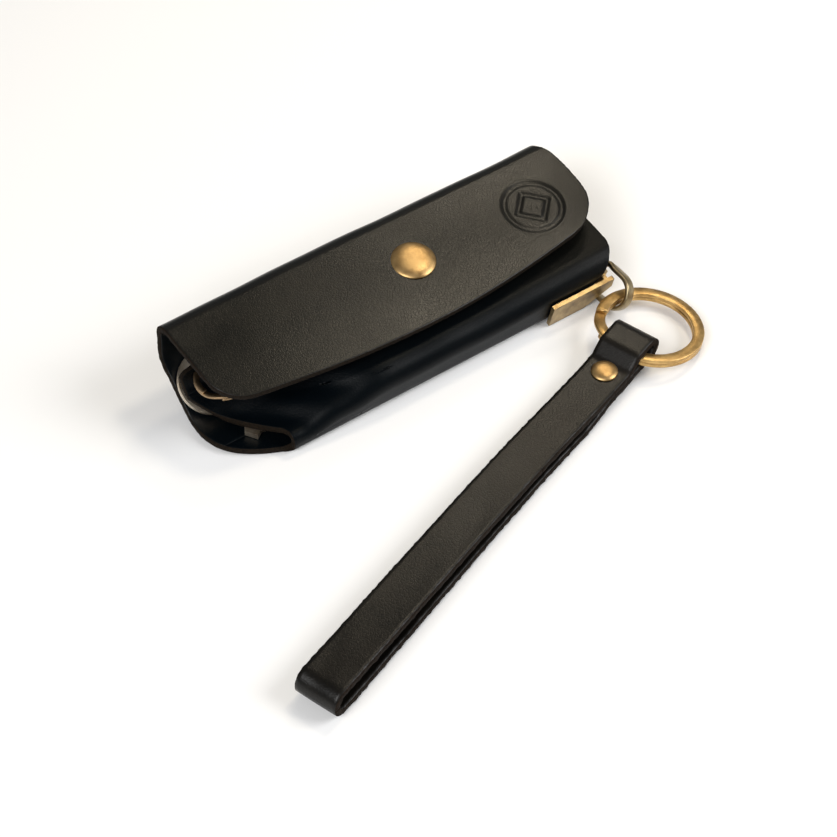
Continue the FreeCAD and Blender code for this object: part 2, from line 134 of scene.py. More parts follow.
RIM_LEVEL = 0.72     # the cut edge's two rows of points, as a share of half the thickness
RIM_SWELL = 0.22     # how far the cut edge stands out past the grid
RIM_ROUGH = 0.16     # and how unevenly
INNER_PAINTED_LIGHT = 0.3     # painted warm sheen on the inner side, as a share of the outer side's; the rest there is painted shade


def sheet_from_grid(name, grid, thickness, material, edge_material, painted_light, pressed):
    """A closed leather sheet around a grid of middle points, with its own material on the cut edge.

    The grid's normal points to the inner side. pressed is how far the outer surface is pushed in at
    each point, and the painted-light value is how much painted warm sheen its colour gets there; low is
    painted shade.
    """
    rows, cols = grid.shape[:2]
    along = np.gradient(grid, axis=0)
    across = np.gradient(grid, axis=1)
    normal = np.cross(along, across)
    normal /= np.linalg.norm(normal, axis=2)[..., None]
    half = thickness / 2
    top = grid + normal * half
    low = grid - normal * (half - pressed[..., None])
    vertices = np.concatenate([top.reshape(-1, 3), low.reshape(-1, 3)]).tolist()
    count = rows * cols
    faces = []
    slots = []
    for i in range(rows - 1):
        for j in range(cols - 1):
            a, b, c, d = i * cols + j, (i + 1) * cols + j, (i + 1) * cols + j + 1, i * cols + j + 1
            faces.append((a, b, c, d))
            faces.append((count + d, count + c, count + b, count + a))
            slots += [0, 0]
    border = [(i, 0) for i in range(rows)] + [(rows - 1, j) for j in range(1, cols)]
    border += [(i, cols - 1) for i in range(rows - 2, -1, -1)] + [(0, j) for j in range(cols - 2, 0, -1)]
    rims = []
    for level in (RIM_LEVEL, -RIM_LEVEL):
        ring = []
        for i, j in border:
            inner_i = min(max(i, 1), rows - 2)
            inner_j = min(max(j, 1), cols - 2)
            out = grid[i, j] - grid[inner_i, inner_j]
            length = np.linalg.norm(out)
            out = out / length if length > 1e-9 else out
            wobble = noise.noise(Vector(grid[i, j] * 0.9)) + 0.6 * noise.noise(Vector(grid[i, j] * 2.7))
            point = grid[i, j] + normal[i, j] * half * level + out * (RIM_SWELL + RIM_ROUGH * wobble)
            ring.append(len(vertices))
            vertices.append(point.tolist())
        rims.append(ring)
    total = len(border)
    chains = [[i * cols + j for i, j in border], rims[0], rims[1], [count + i * cols + j for i, j in border]]
    for first, second in zip(chains, chains[1:]):
        for k in range(total):
            following = (k + 1) % total
            faces.append((first[following], first[k], second[k], second[following]))
            slots.append(1)
    obj = mesh_object(name, vertices, faces, material, slots, [edge_material])
    # painted light: the inner side gets only a share of the painted warm sheen (painted shade), and the cut
    # edge gets none
    values = np.concatenate([painted_light.reshape(-1) * INNER_PAINTED_LIGHT, painted_light.reshape(-1), np.zeros(len(rims[0]) * 2)])
    attribute = obj.data.attributes.new("painted_light", "FLOAT", "POINT")
    attribute.data.foreach_set("value", values.astype(np.float32))
    return obj


def lathe(name, profile, placement, material, steps=72):
    """A round piece from (radius, height) points, turned about its own Z axis. The ends are on the axis."""
    vertices = []
    faces = []
    rings = []
    for radius, height in profile:
        if radius < 1e-6:
            rings.append([len(vertices)])
            vertices.append(placement @ Vector((0, 0, height)))
            continue
        ring = []
        for k in range(steps):
            angle = 2 * math.pi * k / steps
            ring.append(len(vertices))
            vertices.append(placement @ Vector((radius * math.cos(angle), radius * math.sin(angle), height)))
        rings.append(ring)
    for first, second in zip(rings, rings[1:]):
        for k in range(steps):
            following = (k + 1) % steps
            quad = (first[k % len(first)], first[following % len(first)],
                    second[following % len(second)], second[k % len(second)])
            faces.append(tuple(dict.fromkeys(quad)))
    return mesh_object(name, vertices, faces, material)


def sweep(name, centres, sides, ups, profile, material, closed):
    """A bar of one profile, given as (sideways, up) points, carried along a row of centres."""
    vertices = []
    faces = []
    size = len(profile)
    for centre, side, up in zip(centres, sides, ups):
        for a, b in profile:
            vertices.append(centre + side * a + up * b)
    count = len(centres)
    for i in range(count if closed else count - 1):
        following = (i + 1) % count
        for k in range(size):
            nearby = (k + 1) % size
            faces.append((i * size + k, i * size + nearby, following * size + nearby, following * size + k))
    if not closed:
        faces.append(tuple(range(size - 1, -1, -1)))
        faces.append(tuple((count - 1) * size + k for k in range(size)))
    return mesh_object(name, vertices, faces, material)


def bar_profile(width, height, bevel):
    """A rectangle with its corners cut off."""
    w, h = width / 2, height / 2
    return [(w, -h + bevel), (w, h - bevel), (w - bevel, h), (-w + bevel, h),
            (-w, h - bevel), (-w, -h + bevel), (-w + bevel, -h), (w - bevel, -h)]


# ---------------------------------------------------------------- materials, colours in linear RGB
def new_material(name):
    material = bpy.data.materials.new(name)
    material.use_nodes = True
    tree = material.node_tree
    shader = tree.nodes["Principled BSDF"]
    coordinates = tree.nodes.new("ShaderNodeTexCoord")
    return material, tree, shader, coordinates.outputs["Object"]


def noise_node(tree, vector, scale, detail=3.0, roughness=0.55):
    node = tree.nodes.new("ShaderNodeTexNoise")
    node.inputs["Scale"].default_value = scale
    node.inputs["Detail"].default_value = detail
    node.inputs["Roughness"].default_value = roughness
    tree.links.new(vector, node.inputs["Vector"])
    return node.outputs["Fac"]


def ramp_node(tree, value, stops):
    node = tree.nodes.new("ShaderNodeValToRGB")
    ramp = node.color_ramp
    while len(ramp.elements) < len(stops):
        ramp.elements.new(0.5)
    for element, (position, colour) in zip(ramp.elements, stops):
        element.position = position
        element.color = (*colour, 1.0)
    tree.links.new(value, node.inputs["Fac"])
    return node.outputs["Color"]


def mix_node(tree, factor, first, second, blend="MIX"):
    node = tree.nodes.new("ShaderNodeMix")
    node.data_type = "RGBA"
    node.blend_type = blend
    sockets = {"Factor": node.inputs[0], "A": node.inputs[6], "B": node.inputs[7]}
    for key, value in (("Factor", factor), ("A", first), ("B", second)):
        if isinstance(value, (int, float)):
            sockets[key].default_value = value
        elif isinstance(value, tuple):
            sockets[key].default_value = (*value, 1.0)
        else:
            tree.links.new(value, sockets[key])
    return node.outputs[2]


def math_node(tree, operation, first, second):
    node = tree.nodes.new("ShaderNodeMath")
    node.operation = operation
    for socket, value in zip(node.inputs, (first, second)):
        if isinstance(value, (int, float)):
            socket.default_value = value
        else:
            tree.links.new(value, socket)
    return node.outputs[0]


def bump_node(tree, shader, height, strength, distance):
    node = tree.nodes.new("ShaderNodeBump")
    node.inputs["Strength"].default_value = strength
    node.inputs["Distance"].default_value = distance
    tree.links.new(height, node.inputs["Height"])
    tree.links.new(node.outputs["Normal"], shader.inputs["Normal"])


def leather_material(name, dark, light, grain, rough, with_painted_light, gloss):
    """Oiled leather: pebbled grain, speckled dye, broad patches of wear, a soft uneven sheen.

    Where the painted-light attribute is low, the colour is painted shade: the leather's own navy, colder and
    darker; where it is high, the warm worn colour stands as a painted warm sheen.
    """
    material, tree, shader, vector = new_material(name)
    cells = tree.nodes.new("ShaderNodeTexVoronoi")
    cells.feature = "DISTANCE_TO_EDGE"
    cells.inputs["Scale"].default_value = grain
    warp = noise_node(tree, vector, grain * 0.45, 4.0)
    warped = tree.nodes.new("ShaderNodeVectorMath")
    warped.operation = "MULTIPLY_ADD"
    tree.links.new(warp, warped.inputs[0])
    warped.inputs[1].default_value = (0.0012, 0.0012, 0.0012)
    tree.links.new(vector, warped.inputs[2])
    tree.links.new(warped.outputs[0], cells.inputs["Vector"])
    fine = noise_node(tree, vector, grain * 2.2, 4.0, 0.65)
    broad = noise_node(tree, vector, 55.0, 4.0, 0.6)
    pebble = math_node(tree, "MINIMUM", cells.outputs["Distance"], 0.16)
    rise = math_node(tree, "MULTIPLY", pebble, 3.0)
    height = math_node(tree, "ADD", rise, math_node(tree, "MULTIPLY", fine, 0.5))
    bump_node(tree, shader, height, 0.30, 0.00010)
    wear = ramp_node(tree, broad, [(0.32, dark), (0.72, light)])
    speck = ramp_node(tree, fine, [(0.38, (0.55, 0.55, 0.55)), (0.70, (1.35, 1.33, 1.28))])
    colour = mix_node(tree, 1.0, wear, speck, "MULTIPLY")
    shader.inputs["Specular IOR Level"].default_value = gloss
    if with_painted_light:
        painted_light = tree.nodes.new("ShaderNodeAttribute")
        painted_light.attribute_name = "painted_light"
        # painted shade: the leather's navy, darkened where little light falls
        navy_in_painted_shade = ramp_node(tree, fine, [(0.3, (0.0004, 0.0012, 0.0020)), (0.8, (0.0012, 0.0027, 0.0040))])
        # painted light: warm worn colour as painted sheen where the attribute is high, painted-shade navy
        # where it is low
        colour = mix_node(tree, painted_light.outputs["Fac"], navy_in_painted_shade, colour)
    tree.links.new(colour, shader.inputs["Base Color"])
    gloss_map = tree.nodes.new("ShaderNodeMapRange")
    gloss_map.inputs["To Min"].default_value = rough - 0.07
    gloss_map.inputs["To Max"].default_value = rough + 0.10
    tree.links.new(broad, gloss_map.inputs["Value"])
    tree.links.new(gloss_map.outputs["Result"], shader.inputs["Roughness"])
    return material


def edge_leather_material(name, dark, light):
    """The raw cut edge: fibrous, brown and matt."""
    material, tree, shader, vector = new_material(name)
    fibre = noise_node(tree, vector, 1700.0, 5.0, 0.7)
    colour = ramp_node(tree, fibre, [(0.3, dark), (0.7, light)])
    tree.links.new(colour, shader.inputs["Base Color"])
    shader.inputs["Roughness"].default_value = 0.85
    shader.inputs["Specular IOR Level"].default_value = 0.12
    bump_node(tree, shader, fibre, 0.6, 0.0003)
    return material


def metal_material(name, bright, dull, rough, scale=260.0, scratch=0.15):
    """Antique metal: darker blotches of patina, fine wear marks, uneven polish."""
    material, tree, shader, vector = new_material(name)
    patina = noise_node(tree, vector, scale, 5.0, 0.62)
    colour = ramp_node(tree, patina, [(0.30, dull), (0.62, bright)])
    tree.links.new(colour, shader.inputs["Base Color"])
    shader.inputs["Metallic"].default_value = 1.0
    fine = noise_node(tree, vector, 2400.0, 3.0, 0.6)
    span = tree.nodes.new("ShaderNodeMapRange")
    span.inputs["To Min"].default_value = rough
    span.inputs["To Max"].default_value = rough + 0.18
    tree.links.new(patina, span.inputs["Value"])
    tree.links.new(span.outputs["Result"], shader.inputs["Roughness"])
    bump_node(tree, shader, fine, scratch, 0.00008)
    return material


# both case leathers take their painted sheen and painted shade from the painted-light attribute
CASE_LEATHER = leather_material("case_leather_look", (0.0026, 0.0025, 0.0017), (0.0070, 0.0060, 0.0036),
                                1250, 0.30, True, 0.27)
POCKET_LEATHER = leather_material("pocket_leather_look", (0.0026, 0.0025, 0.0017), (0.0070, 0.0060, 0.0036),
                                  1250, 0.36, True, 0.09)
CASE_EDGE = edge_leather_material("case_edge_look", (0.0012, 0.0009, 0.0006), (0.016, 0.0095, 0.0045))
STRAP_LEATHER = leather_material("strap_leather_look", (0.0020, 0.0018, 0.0013), (0.0078, 0.0060, 0.0040),
                                 1100, 0.31, False, 0.24)
STRAP_EDGE = edge_leather_material("strap_edge_look", (0.0012, 0.0010, 0.0008), (0.020, 0.012, 0.007))
CAP_BRASS = metal_material("cap_brass_look", (0.50, 0.33, 0.145), (0.31, 0.19, 0.075), 0.30)
RING_BRASS = metal_material("ring_brass_look", (0.66, 0.44, 0.18), (0.36, 0.21, 0.07), 0.33)
CLAMP_BRASS = metal_material("clamp_brass_look", (0.46, 0.34, 0.17), (0.17, 0.11, 0.05), 0.26)
LOOP_BRASS = metal_material("loop_brass_look", (0.36, 0.29, 0.17), (0.19, 0.14, 0.08), 0.24)
HIDDEN_BRASS = metal_material("hardware_brass_look", (0.60, 0.45, 0.24), (0.40, 0.28, 0.14), 0.35)
KEY_STEEL = metal_material("key_steel_look", (0.78, 0.70, 0.58), (0.45, 0.34, 0.22), 0.32, 180.0, 0.25)
RING_STEEL = metal_material("key_ring_look", (0.48, 0.34, 0.20), (0.22, 0.14, 0.075), 0.28)


# ---------------------------------------------------------------- the case's leather
# One folded section: from the pocket's top edge over the keys, round the front fold, under, up the back,
# over the top fold and down the flap. (y, z) corners of the leather's middle line as far as the back,
# where the case is full and where it sags. The last two corners, the top fold and the flap's front edge,
# are added in case_section.
FULL_CORNERS = [(14.5, 16.3), (4, 14.85), (-10.4, 13.4), (-14.2, 11), (-11.9, 1), (11, 1), (25.3, 12.5)]
FULL_RADII = [0, 12, 4.2, 4.2, 3.2, 9, 9]
SAG_CORNERS = [(15.0, 16.9), (12.8, 11.8), (4.5, 5.5), (-11.9, 4.0), (-11.6, 1), (10.5, 1), (24.8, 13.5)]
SAG_RADII = [0, 4, 8, 1.4, 1.4, 9, 9]
FOLD_CORNER = (26.5, 25.9)
FOLD_RADIUS = 3.4
FOLD_DROP = 0.5                   # how much lower the top fold is at the clamp's end
FRONT_LIFT = 0.4                  # the flap's front edge stands this far above its straight slope
LINE_STEPS = [12, 20, 6, 14, 24, 12, 12, 70]
ARC_STEPS = 10
FRONT_FOLD = sum(LINE_STEPS[:4]) + ARC_STEPS * 3 + ARC_STEPS // 2    # middle of the bottom front fold
SEAM = sum(LINE_STEPS[:4]) + ARC_STEPS * 4 + LINE_STEPS[4] // 2      # column in the middle of the underside
FLAP_FROM = sum(LINE_STEPS[:7]) + ARC_STEPS * 7                      # first column past the top fold
SAG_END, SAG_START = -52.0, -13.0
GRID_COLUMNS = 270
WAIST_DEPTH = 17.0                # how far the leather's ends are drawn in at the bottom front fold
BACK_WAIST_RUN = 21.0             # and over what distance behind that fold they come out again
FLAP_RUN = 38.0                   # from the flap's front edge back to the top fold, along the section


def fullness(x):
    """0 at the sagging open end, 1 where the case is full."""
    return hill(x, SAG_END, SAG_START)


def crown(x):
    """How much fuller the case stands towards the clamp."""
    return 1.7 * hill(x, 10, 62)


def flap_reach(x):
    """From the hinge line to the flap's bowed front edge."""
    return FLAP_REACH - FLAP_BOW * (x - FLAP_LONGEST) ** 2


def case_section(x):
    """(y, z) points of the leather's middle line at this x, always the same number."""
    share = fullness(x)
    corners = []
    for sag, full in zip(SAG_CORNERS, FULL_CORNERS):
        y = sag[0] * (1 - share) + full[0] * share
        z = sag[1] * (1 - share) + full[1] * share
        corners.append((y, z + crown(x) * hill(z, 4, 13)))
    radii = [a * (1 - share) + b * share for a, b in zip(SAG_RADII, FULL_RADII)]
    reach = flap_reach(x)
    front = (HINGE[0] - reach * math.cos(FLAP_SLOPE), HINGE[1] - reach * math.sin(FLAP_SLOPE))
    lift = FRONT_LIFT + crown(x)
    fold = (FOLD_CORNER[0], FOLD_CORNER[1] - FOLD_DROP * hill(x, -20, 60))
    corners += [fold, (front[0], front[1] + lift)]
    return rounded(corners, radii + [FOLD_RADIUS, 0], LINE_STEPS, ARC_STEPS)


def arc_lengths(points):
    """Distance along a row of points, from its start to each point."""
    return np.concatenate([[0], np.cumsum(np.linalg.norm(np.diff(points, axis=0), axis=1))])


def corner_inset(distance, radius):
    """How far a rounded corner draws the edge in, at this distance from the sheet's end."""
    if distance >= radius:
        return 0.0
    return radius - math.sqrt(max(radius ** 2 - (radius - distance) ** 2, 0.0))


def back_waist(distance):
    """How far the leather's end is drawn in at this distance up the back from the bottom fold."""
    share = min(max(distance / BACK_WAIST_RUN, 0.0), 1.0)
    return WAIST_DEPTH * (1 - share) ** 3.0


def pocket_waist(distance, first, run, power):
    """The same, up the pocket's side."""
    share = min(max((distance - first) / run, 0.0), 1.0)
    return WAIST_DEPTH * (1 - share) ** power


def case_limits(x_left, x_right):
    """The sheet's left and right end at each point along the section."""
    left_section, right_section = case_section(x_left), case_section(x_right)
    limits = []
    left_run, right_run = arc_lengths(left_section), arc_lengths(right_section)
    for j in range(len(left_section)):
        from_left = left_run[j] - left_run[FRONT_FOLD]
        from_right = right_run[j] - right_run[FRONT_FOLD]
        if j < FRONT_FOLD:
            top = corner_inset(right_run[j], 4.0)
            left = pocket_waist(-from_left, 5.0, 22.0, 1.15) + top
            right = pocket_waist(-from_right, -0.5, 19.0, 1.9) + top
            bulge = 0.7 * hill(-from_right, 8, 16)
        else:
            left = back_waist(from_left)
            right = back_waist(from_right)
            fold_run = right_run[-1] - flap_reach(x_right)
            bulge = 1.2 * hill(from_right, 20, 34) - 1.6 * math.exp(-((right_run[j] - fold_run) / 3.0) ** 2)
        remaining = right_run[-1] - right_run[j]
        left += corner_inset(left_run[-1] - left_run[j], 8.0)
        right += corner_inset(remaining, 10.0)
        on_flap = hill(remaining, 42, 36)
        swell = math.sin(math.pi * min(max(remaining / FLAP_RUN, 0.0), 1.0))
        left_edge = -(CASE_HALF + 0.2) + left + on_flap * (0.6 + 2.2 * (1 - remaining / FLAP_RUN))
        right_edge = CASE_HALF + 0.2 - right + bulge + 1.8 * on_flap * swell
        limits.append((left_edge, right_edge))
    return limits


def case_grid(columns):
    """Middle points of the leather: one row of points round the section for each step from the open end."""
    stations = np.linspace(-CASE_HALF - 3, CASE_HALF + 5, 137)
    table = np.array([case_section(x) for x in stations])
    spacing = stations[1] - stations[0]
    limits = case_limits(-50.0, 50.0)
    grid = np.zeros((columns, table.shape[1], 3))
    for j, (left, right) in enumerate(limits):
        for i in range(columns):
            x = left + (right - left) * i / (columns - 1)
            place = (x - stations[0]) / spacing
            k = min(int(place), len(stations) - 2)
            y, z = table[k, j] * (1 - place + k) + table[k + 1, j] * (place - k)
            grid[i, j] = (x, y, z)
    return grid


def wander(x, y, scale, seed):
    """Slow smooth unevenness between -1 and 1."""
    return noise.noise(Vector((x * scale, y * scale, seed)))


def crumple(x, y):
    """Soft creases of the pocket's side where it sags over the keys."""
    run = (x + 0.9 * y + 3.0 * wander(x, y, 0.08, 2.0)) * 0.42
    return 0.45 * math.sin(run) * hill(x, -58, -46) * hill(-x, 12, 30)


def shape_leather(grid):
    """Unevenness of real leather, kept small at the fold that the flap turns about."""
    for i in range(grid.shape[0]):
        for j in range(grid.shape[1]):
            x, y, z = grid[i, j]
            if j >= FLAP_FROM:
                amount = hill(23.0 - y, 0, 9)
                out = min(max(HINGE[0] - y, 0.0), 36.0)
                grid[i, j, 2] += 0.9 * math.sin(math.pi * out / 36.0) - 0.5 * hill(-x, 35, 60) * amount
                grid[i, j, 2] += amount * (0.12 * wander(x, y, 0.05, 7.0) + 0.015 * wander(x, y, 0.17, 4.0))
            elif z > 4.0 and y < 12:
                grid[i, j, 2] += 0.4 * wander(x, y, 0.07, 3.0) + crumple(x, y) * hill(12 - y, 0, 6)
            elif z > 6.0:
                grid[i, j, 1] += 0.35 * wander(x, z, 0.06, 9.0)


def emblem_depth(x, out):
    """A plain pressed mark near the flap's end: a ring around a diamond."""
    dx, dy = x - EMBLEM_AT[0], out - EMBLEM_AT[1]
    ring = abs(math.hypot(dx, dy) - 8.0)
    diamond = abs(abs(dx) + abs(dy) - 5.0) * 0.72
    groove = min(ring, diamond)
    inside = 0.18 * (1 - hill(math.hypot(dx, dy), 7.4, 8.0))
    return 0.36 * (1 - hill(groove, 0.1, 1.1)) + inside


def make_case_leather():
    """One real sheet, made as two that meet in the middle of the underside.

    The pocket stays with the case. The back goes on over the top fold into the flap.
    """
    grid = case_grid(GRID_COLUMNS)
    shape_leather(grid)
    painted_light = np.zeros(grid.shape[:2])
    pressed = np.zeros(grid.shape[:2])
    for i in range(grid.shape[0]):
        for j in range(grid.shape[1]):
            x, y, z = grid[i, j]
            if j >= FLAP_FROM:
                # painted light: the flap gets the painted warm sheen, less of it (painted shade) towards the
                # top fold
                painted_light[i, j] = 0.45 + 0.55 * hill(27.0 - y, 0, 8)
                pressed[i, j] = emblem_depth(x, math.hypot(y - HINGE[0], z - HINGE[1]))
            else:
                # painted light: the pocket and back get painted sheen towards their top and the clamp's end,
                # painted shade lower down
                painted_light[i, j] = 0.5 * hill(z, 11.5, 16.5) + 0.3 * hill(x, 20, 60) * hill(z, 6, 12)
    pocket = sheet_from_grid("case_pocket_leather", grid[:, :SEAM + 1], LEATHER, POCKET_LEATHER, CASE_EDGE,
                             painted_light[:, :SEAM + 1], pressed[:, :SEAM + 1])
    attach(pocket, "case")
    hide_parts("case_wrap")
    back = sheet_from_grid("case_back_and_flap_leather", grid[:, SEAM:], LEATHER, CASE_LEATHER, CASE_EDGE,
                           painted_light[:, SEAM:], pressed[:, SEAM:])
    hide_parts("case_flap")
    return back


def flap_frame():
    """From the flap's own plane, whose x axis is the fold line, to the row frame."""
    return Matrix.Translation((0, HINGE[0], HINGE[1])) @ Matrix.Rotation(FLAP_SLOPE, 4, "X")


# ---------------------------------------------------------------- round brass heads
def dome_profile(radius, height, rim, base, shank, shank_end):
    """(radius, height) points of a domed cap on a shank. base is the height of the cap's underside."""
    points = [(0.0, base + height)]
    for k in range(1, 20):
        share = math.sin(math.pi / 2 * k / 20)
        points.append((radius * share, base + rim + (height - rim) * (1 - share ** 3.0) ** 0.75))
    points += [(radius, base + rim), (radius + 0.02, base + rim * 0.5), (radius - 0.12, base + 0.02)]
    points += [(shank, base), (shank, shank_end), (0.0, shank_end)]
    return points


def make_snap_cap():
    place = flap_frame() @ Matrix.Translation((SNAP_AT[0], -SNAP_AT[1], 0))
    profile = dome_profile(radius=6.15, height=1.75, rim=0.55, base=2.75, shank=1.5, shank_end=-1.6)
    obj = lathe("snap_cap_dome", profile, place, CAP_BRASS)
    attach(obj, "flap")
    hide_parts("snap_cap")


def strap_frame():
    """From the strap's own frame, whose x axis runs along it from the ring's centre, to the row frame."""
    return Matrix.Translation((RING_CENTRE.x, RING_CENTRE.y, 0)) @ Matrix.Rotation(STRAP_TURN, 4, "Z")


def make_rivet():
    """Two domed caps on one shank, one on each side of the strap."""
    for name, node, flip in (("rivet_head", "rivet_cap", 0.0), ("rivet_foot", "rivet_post", math.pi)):
        seat = Matrix.Translation((RIVET_S, 0, RIVET_LEVEL)) @ Matrix.Rotation(flip, 4, "X")
        profile = dome_profile(radius=3.6, height=1.35, rim=0.4, base=1.95, shank=1.4, shank_end=0.3)
        obj = lathe(name, profile, strap_frame() @ seat, CAP_BRASS, 56)
        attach(obj, "strap")
        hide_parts(node)


# ---------------------------------------------------------------- split rings
COIL_FILL = 0.94     # height of one coil, as a share of half the ring's height
COIL_BEVEL = 0.13    # bevel of the wire's corners, as a share of its height
COIL_END = 1.06      # the wire ends this many ramps short of two full turns
COIL_STEPS = 220


def coil_ring(name, place, inner, outer, height, material, start, ramp):
    """A ring of two turns of flat wire: the wire climbs from the lower coil to the upper over the ramp."""
    wire = height / 2 * COIL_FILL
    middle = (inner + outer) / 2
    profile = bar_profile(outer - inner, wire, wire * COIL_BEVEL)
    turn = place.to_3x3()
    two_turns = 4 * math.pi
    last = two_turns - ramp * COIL_END
    angles = [two_turns * k / COIL_STEPS for k in range(COIL_STEPS)]
    angles = [angle for angle in angles if angle < last] + [last]
    centres, sides, ups = [], [], []
    for angle in angles:
        climb = hill(angle, 2 * math.pi - ramp, 2 * math.pi + 0.02)
        level = -height / 4 + height / 2 * climb
        direction = Vector((math.cos(angle + start), math.sin(angle + start), 0))
        centres.append(place @ (direction * middle + Vector((0, 0, level))))
        sides.append(turn @ direction)
        ups.append(turn @ Vector((0, 0, 1)))
    return sweep(name, centres, sides, ups, profile, material, False)


def make_split_ring():
    place = Matrix.Translation(RING_CENTRE) @ Matrix.Rotation(RING_TILT, 4, "Y")
    obj = coil_ring("split_ring_coils", place, inner=12.0, outer=15.0, height=2.4, material=RING_BRASS,
                    start=math.radians(164), ramp=math.radians(34))
    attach(obj, "ring")
    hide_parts("split_ring")


def make_key_ring():
    place = Matrix.Translation(KEY_RING_CENTRE)
    obj = coil_ring("key_ring_coils", place, inner=5.9, outer=7.5, height=1.4, material=RING_STEEL,
                    start=math.radians(238), ramp=math.radians(40))
    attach(obj, "small_ring")
    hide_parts("key_ring")


# ---------------------------------------------------------------- the clamp's loop
def make_loop():
    """A flat brass band bent to a D, its straight side in the clamp's barrel."""
    arc, leg, corner = 4.75, 7.6, 2.0
    pivot = Vector((math.sin(LOOP_LEAN), 0, math.cos(LOOP_LEAN)))
    out = Vector((0, -1, 0))
    normal = out.cross(pivot)
    plan = []
    for k in range(9):
        plan.append((0, -arc + corner + (2 * arc - 2 * corner) * k / 9))
    for k in range(10):
        a = math.pi - math.pi / 2 * k / 10
        plan.append((corner + corner * math.cos(a), arc - corner + corner * math.sin(a)))
    for k in range(6):
        plan.append((corner + (leg - corner) * k / 6, arc))
    for k in range(32):
        a = math.pi / 2 - math.pi * k / 32
        plan.append((leg + arc * math.cos(a), arc * math.sin(a)))
    for k in range(6):
        plan.append((leg - (leg - corner) * k / 6, -arc))
    for k in range(10):
        a = -math.pi / 2 - math.pi / 2 * k / 10
        plan.append((corner + corner * math.cos(a), -arc + corner + corner * math.sin(a)))
    count = len(plan)
    vertices, faces = [], []
    steps = 16
    for k, (u, v) in enumerate(plan):
        before, after = plan[k - 1], plan[(k + 1) % count]
        tangent = Vector((after[0] - before[0], after[1] - before[1], 0)).normalized()
        centre = LOOP_SEAT + out * u + pivot * v
        side = out * tangent.y - pivot * tangent.x
        flat = hill(u, 1.6, 4.0)
        for m in range(steps):
            angle = 2 * math.pi * m / steps
            c, s = math.cos(angle), math.sin(angle)
            across = (0.85 - 0.23 * flat) * math.copysign(abs(c) ** (1.0 - 0.6 * flat), c)
            along = (0.88 + 0.50 * flat) * math.copysign(abs(s) ** (1.0 - 0.6 * flat), s)
            vertices.append(centre + side * across + normal * along)
    for k in range(count):
        following = (k + 1) % count
        for m in range(steps):
            nearby = (m + 1) % steps
            faces.append((k * steps + m, k * steps + nearby,
                          following * steps + nearby, following * steps + m))
    obj = mesh_object("clamp_loop_band", vertices, faces, LOOP_BRASS)
    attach(obj, "loop")
    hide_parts("clamp_loop")


# ---------------------------------------------------------------- the wrist strap
# (distance from the ring's centre along the strap, height) corners of the strip's middle line: from the top
# of the ring over the rivet to the far end, back underneath, and round the ring again.
STRAP_ROUTE = [(14.5, 8.75), (19.0, 5.3), (26.5, 5.2), (60, 5.7), (110, 7.0), (147.4, 7.6), (147.4, 1.05),
               (38, 1.03), (27, 3.2), (19, 3.2), (14, 3.7), (5.8, 3.9), (5.8, 8.9), (14.5, 8.75)]
STRAP_RADII = [0, 5, 14, 70, 250, 3.2, 3.2, 30, 14, 8, 8, 2.85, 2.85, 0]
STRAP_STEPS = [5, 6, 50, 80, 60, 3, 170, 12, 6, 4, 6, 3, 6]
EDGE_LEVEL = 0.62    # height of the cut edge's two rows of points above and below the strip's middle
EDGE_SWELL = 0.20    # how far the cut edge stands out
EDGE_JAG = 0.30      # and how unevenly


def make_strap():
    """A leather strip folded round the ring, riveted, and open as a long narrow loop for the wrist."""
    route = rounded(STRAP_ROUTE, STRAP_RADII, STRAP_STEPS, 9)[:-1]
    count = len(route)
    place = strap_frame()
    turn = place.to_3x3()
    across = 13
    shares = [k / (across - 1) * 2 - 1 for k in range(across)]
    rows = []
    half = STRAP_WIDTH / 2
    for k in range(count):
        s, z = route[k]
        before, after = route[k - 1], route[(k + 1) % count]
        tangent = Vector((after[0] - before[0], after[1] - before[1])).normalized()
        normal = Vector((-tangent.y, 0, tangent.x))
        away = hill(s, 30, 60)
        bend = (-0.4 * math.sin((s - 20) / 42.0) + 1.7 * hill(s, 40, 150)) * away
        centre = Vector((s, bend, z))
        row = []
        for share in shares:
            edge = 1.0 + 0.012 * noise.noise(Vector((s * 0.9, z * 0.5, share * 3)))
            lateral = share * half * edge
            wave = 0.10 * away * noise.noise(Vector((s * 0.07, share * 1.3, 4.0 if z > 4 else 9.0)))
            cup = 0.18 * away * (share ** 2)
            lift = max(wave + cup, 0.0) if z < 3 else wave + cup
            row.append(centre + Vector((0, lateral, 0)) + Vector((0, 0, lift)))
        rows.append((row, normal))
    vertices, faces, slots = [], [], []
    loop_size = 2 * across + 4
    for k, (row, normal) in enumerate(rows):
        ring = [point + normal * STRAP_HALF_PLY for point in row]
        for level in (EDGE_LEVEL, -EDGE_LEVEL):
            jag = EDGE_SWELL + EDGE_JAG * noise.noise(Vector((k * 0.43, level * 2, 1.0)))
            ring.append(row[-1] + normal * level + Vector((0, jag, 0)))
        ring += [point - normal * STRAP_HALF_PLY for point in reversed(row)]
        for level in (-EDGE_LEVEL, EDGE_LEVEL):
            jag = EDGE_SWELL + EDGE_JAG * noise.noise(Vector((k * 0.43, level * 2, 5.0)))
            ring.append(row[0] + normal * level + Vector((0, -jag, 0)))
        vertices += [place @ point for point in ring]
    for k in range(count):
        following = (k + 1) % count
        for m in range(loop_size):
            nearby = (m + 1) % loop_size
            faces.append((k * loop_size + m, following * loop_size + m,
                          following * loop_size + nearby, k * loop_size + nearby))
            is_edge = across - 1 <= m < across + 2 or m >= 2 * across + 1
            slots.append(1 if is_edge else 0)
    obj = mesh_object("wrist_strap_leather", vertices, faces, STRAP_LEATHER, slots, [STRAP_EDGE])
    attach(obj, "strap")
    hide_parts("wrist_strap")
    return obj


